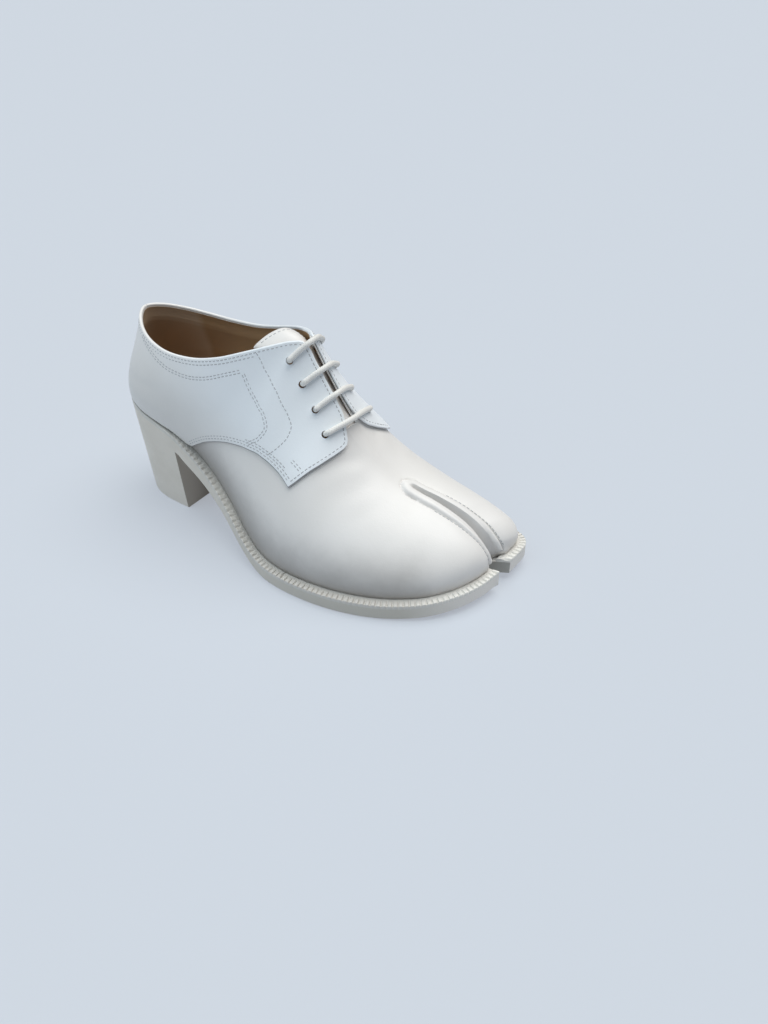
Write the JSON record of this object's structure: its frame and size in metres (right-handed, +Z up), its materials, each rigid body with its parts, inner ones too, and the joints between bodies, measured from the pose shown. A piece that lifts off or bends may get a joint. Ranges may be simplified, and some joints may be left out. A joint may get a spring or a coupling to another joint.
{
  "type": "split toe derby shoe",
  "caption": "Right split toe derby shoe: white leather upper with laced facings and a cleft toe, ribbed welt, leather sole and tapered block heel.",
  "frame": {"origin": "middle of the shoe's box, on the floor", "axes": "+X from heel to toe, +Y towards the inner (medial) side of the foot, +Z up"},
  "size_m": [0.2482, 0.1062, 0.1266],
  "materials": {
    "vamp_leather": "smooth white leather, satin",
    "quarter_leather": "smooth white leather, satin, a little cooler",
    "lining_leather": "tan lining leather, matt",
    "lace_cotton": "round waxed cotton cord, off-white",
    "sole_edge": "painted leather edge, off-white, satin"
  },
  "bodies": {
    "root": {"upper": "vamp_leather", "quarter_lateral": "quarter_leather", "quarter_medial": "quarter_leather", "tongue": "vamp_leather", "lace": "lace_cotton", "insole": "lining_leather", "welt": "sole_edge", "outsole": "sole_edge", "heel": "sole_edge"}
  },
  "joints": []
}
